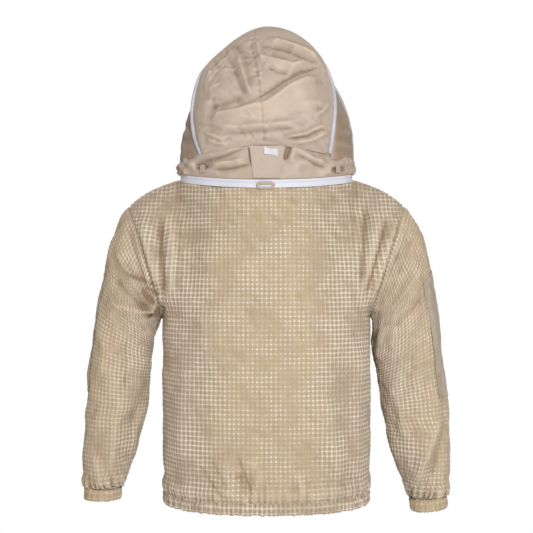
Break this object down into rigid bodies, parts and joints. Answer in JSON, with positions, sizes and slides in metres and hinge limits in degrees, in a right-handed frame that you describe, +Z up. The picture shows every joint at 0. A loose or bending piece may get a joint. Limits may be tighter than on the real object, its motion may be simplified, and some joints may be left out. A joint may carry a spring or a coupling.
{
  "type": "beekeeping jacket with hood",
  "caption": "Ventilated mesh beekeeping jacket with a zip-on fencing-style hood, black veil, elastic cuffs and hem, elbow patches, pockets and a back guard flap.",
  "frame": {"origin": "centre of the collar seam, at the height where it crosses the shoulders", "axes": "+Z up, the wearer faces -Y, +X is the wearer's left"},
  "size_m": [0.795, 0.3568, 1.0458],
  "materials": {
    "vent_mesh": "three-layer ventilated mesh, tan cells under a cream knitted grid",
    "cotton": "plain-woven tan cotton, creased",
    "patch_cotton": "plain-woven grey-tan cotton, flat",
    "white_tape": "white woven polyester tape",
    "zip_coil": "white moulded nylon coil",
    "elastic": "white knitted elastic",
    "hoop_steel": "bare spring steel",
    "zip_metal": "worn antique brass",
    "veil_net": "black polyester net",
    "hook_loop": "napped hook-and-loop pad",
    "label": "blank white satin label"
  },
  "bodies": {
    "jacket": {"back_panel": "vent_mesh", "front_panel_left": "vent_mesh", "front_panel_right": "vent_mesh", "collar_tape": "white_tape", "collar_coil": "zip_coil", "hem_casing": "vent_mesh", "hem_elastic": "elastic", "front_tape_left": "white_tape", "front_tape_right": "white_tape", "front_coil_left": "zip_coil", "front_coil_right": "zip_coil", "front_zip_stops": "zip_coil", "chest_pocket": "cotton", "hip_pocket_left": "cotton", "hip_pocket_right": "cotton", "pocket_loop_pads": "hook_loop", "hang_loop": "cotton"},
    "sleeve_left": {"sleeve_left": "vent_mesh", "elbow_patch_left": "patch_cotton", "cuff_casing_left": "vent_mesh", "cuff_elastic_left": "elastic"},
    "sleeve_right": {"sleeve_right": "vent_mesh", "elbow_patch_right": "patch_cotton", "cuff_casing_right": "vent_mesh", "cuff_elastic_right": "elastic"},
    "hood": {"hood_back": "cotton", "hood_gusset": "cotton", "veil_mesh": "veil_net", "hood_skirt": "cotton", "rear_hoop_piping": "white_tape", "rear_hoop_stay": "hoop_steel", "front_hoop_piping": "white_tape", "front_hoop_stay": "hoop_steel", "hood_tape": "white_tape", "hood_coil": "zip_coil", "side_tab_left": "cotton", "side_tab_right": "cotton"},
    "guard_flap": {"back_guard_flap": "cotton", "care_label": "label"},
    "neck_slider_left": {"neck_slider_left": "zip_metal"},
    "neck_pull_left": {"neck_pull_left": "zip_metal"},
    "neck_slider_right": {"neck_slider_right": "zip_metal"},
    "neck_pull_right": {"neck_pull_right": "zip_metal"},
    "front_slider": {"front_slider": "zip_metal"},
    "front_pull": {"front_pull": "zip_metal"},
    "chest_flap": {"chest_flap": "cotton"},
    "hip_flap_left": {"hip_flap_left": "cotton"},
    "hip_flap_right": {"hip_flap_right": "cotton"}
  },
  "joints": [
    {"name": "shoulder_left_lift", "type": "hinge", "parent": "jacket", "child": "sleeve_left", "pos_m": [0.296, 0, -0.06], "axis": [0, -1, 0], "range_deg": [0, 70]},
    {"name": "shoulder_right_lift", "type": "hinge", "parent": "jacket", "child": "sleeve_right", "pos_m": [-0.296, 0, -0.06], "axis": [0, 1, 0], "range_deg": [0, 70]},
    {"name": "hood_tilt", "type": "hinge", "parent": "jacket", "child": "hood", "pos_m": [0, 0.1225, -0.0095], "axis": [-1, 0, 0], "range_deg": [0, 110]},
    {"name": "neck_zip_left_run", "type": "hinge", "parent": "jacket", "child": "neck_slider_left", "pos_m": [0, 0.10916, 0.03954], "axis": [0, -0.2079, 0.9781], "range_deg": [0, 40]},
    {"name": "neck_zip_right_run", "type": "hinge", "parent": "jacket", "child": "neck_slider_right", "pos_m": [0, 0.10916, 0.03954], "axis": [0, 0.2079, -0.9781], "range_deg": [0, 40]},
    {"name": "neck_pull_left_swing", "type": "hinge", "parent": "neck_slider_left", "child": "neck_pull_left", "pos_m": [0.01314, -0.12078, -0.00933], "axis": [-0.9984, -0.0546, -0.0116], "range_deg": [0, 110]},
    {"name": "neck_pull_right_swing", "type": "hinge", "parent": "neck_slider_right", "child": "neck_pull_right", "pos_m": [-0.01314, -0.12078, -0.00933], "axis": [-0.9984, 0.0546, 0.0116], "range_deg": [0, 110]},
    {"name": "front_zip_run", "type": "slide", "parent": "jacket", "child": "front_slider", "axis": [0, -0.0564, -0.9984], "range_m": [0, 0.616]},
    {"name": "front_pull_swing", "type": "hinge", "parent": "front_slider", "child": "front_pull", "pos_m": [0, -0.11975, -0.03443], "axis": [-1, 0, 0], "range_deg": [0, 110]},
    {"name": "guard_flap_lift", "type": "hinge", "parent": "hood", "child": "guard_flap", "pos_m": [-0.001, 0.128, 0.066], "axis": [1, 0, 0], "range_deg": [0, 120]},
    {"name": "chest_flap_lift", "type": "hinge", "parent": "jacket", "child": "chest_flap", "pos_m": [0.11131, -0.10104, -0.13171], "axis": [-0.9105, -0.4067, -0.075], "range_deg": [0, 110]},
    {"name": "hip_flap_left_lift", "type": "hinge", "parent": "jacket", "child": "hip_flap_left", "pos_m": [0.1091, -0.1335, -0.49689], "axis": [-0.9619, -0.2733, 0], "range_deg": [0, 110]},
    {"name": "hip_flap_right_lift", "type": "hinge", "parent": "jacket", "child": "hip_flap_right", "pos_m": [-0.1091, -0.1335, -0.49689], "axis": [-0.9619, 0.2733, 0], "range_deg": [0, 110]}
  ],
  "couplings": [
    {"joint": "neck_zip_left_run", "follows": "hood_tilt", "ratio": 0.36},
    {"joint": "neck_zip_right_run", "follows": "hood_tilt", "ratio": 0.36}
  ]
}
